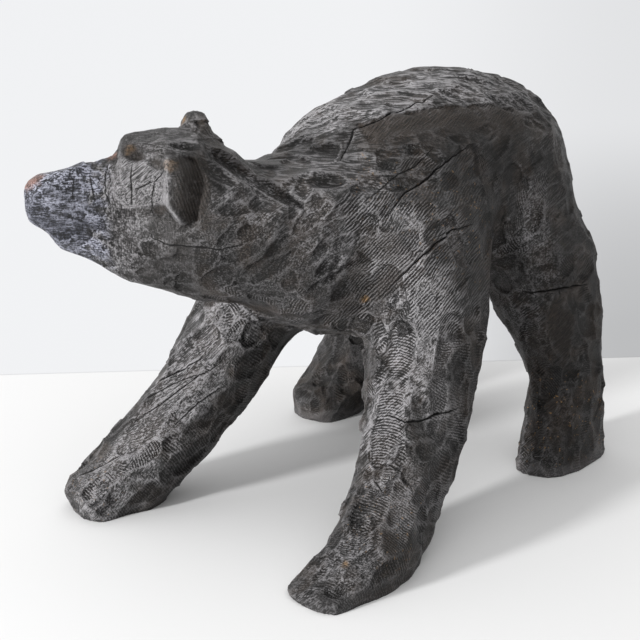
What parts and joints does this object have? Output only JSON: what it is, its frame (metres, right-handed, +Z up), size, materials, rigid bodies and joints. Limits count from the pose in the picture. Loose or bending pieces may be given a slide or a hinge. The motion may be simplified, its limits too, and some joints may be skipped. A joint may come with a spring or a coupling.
{
  "type": "chainsaw carved bear",
  "caption": "Chainsaw carved bear standing on braced legs with its head turned to its right: black-stained wood, hewn facets, gouged eyes, hollow ears and flat soles.",
  "frame": {"origin": "the floor under the middle of the bounding box, at the height of the four soles", "axes": "+Z up, -Y the way the body faces, +X the bear's left"},
  "size_m": [0.5576, 0.8758, 0.6262],
  "materials": {
    "black_stained_wood": "black stain rubbed over rough sawn wood, satin on the ridges and dull in the cuts"
  },
  "bodies": {
    "root": {"bear": "black_stained_wood"}
  },
  "joints": []
}
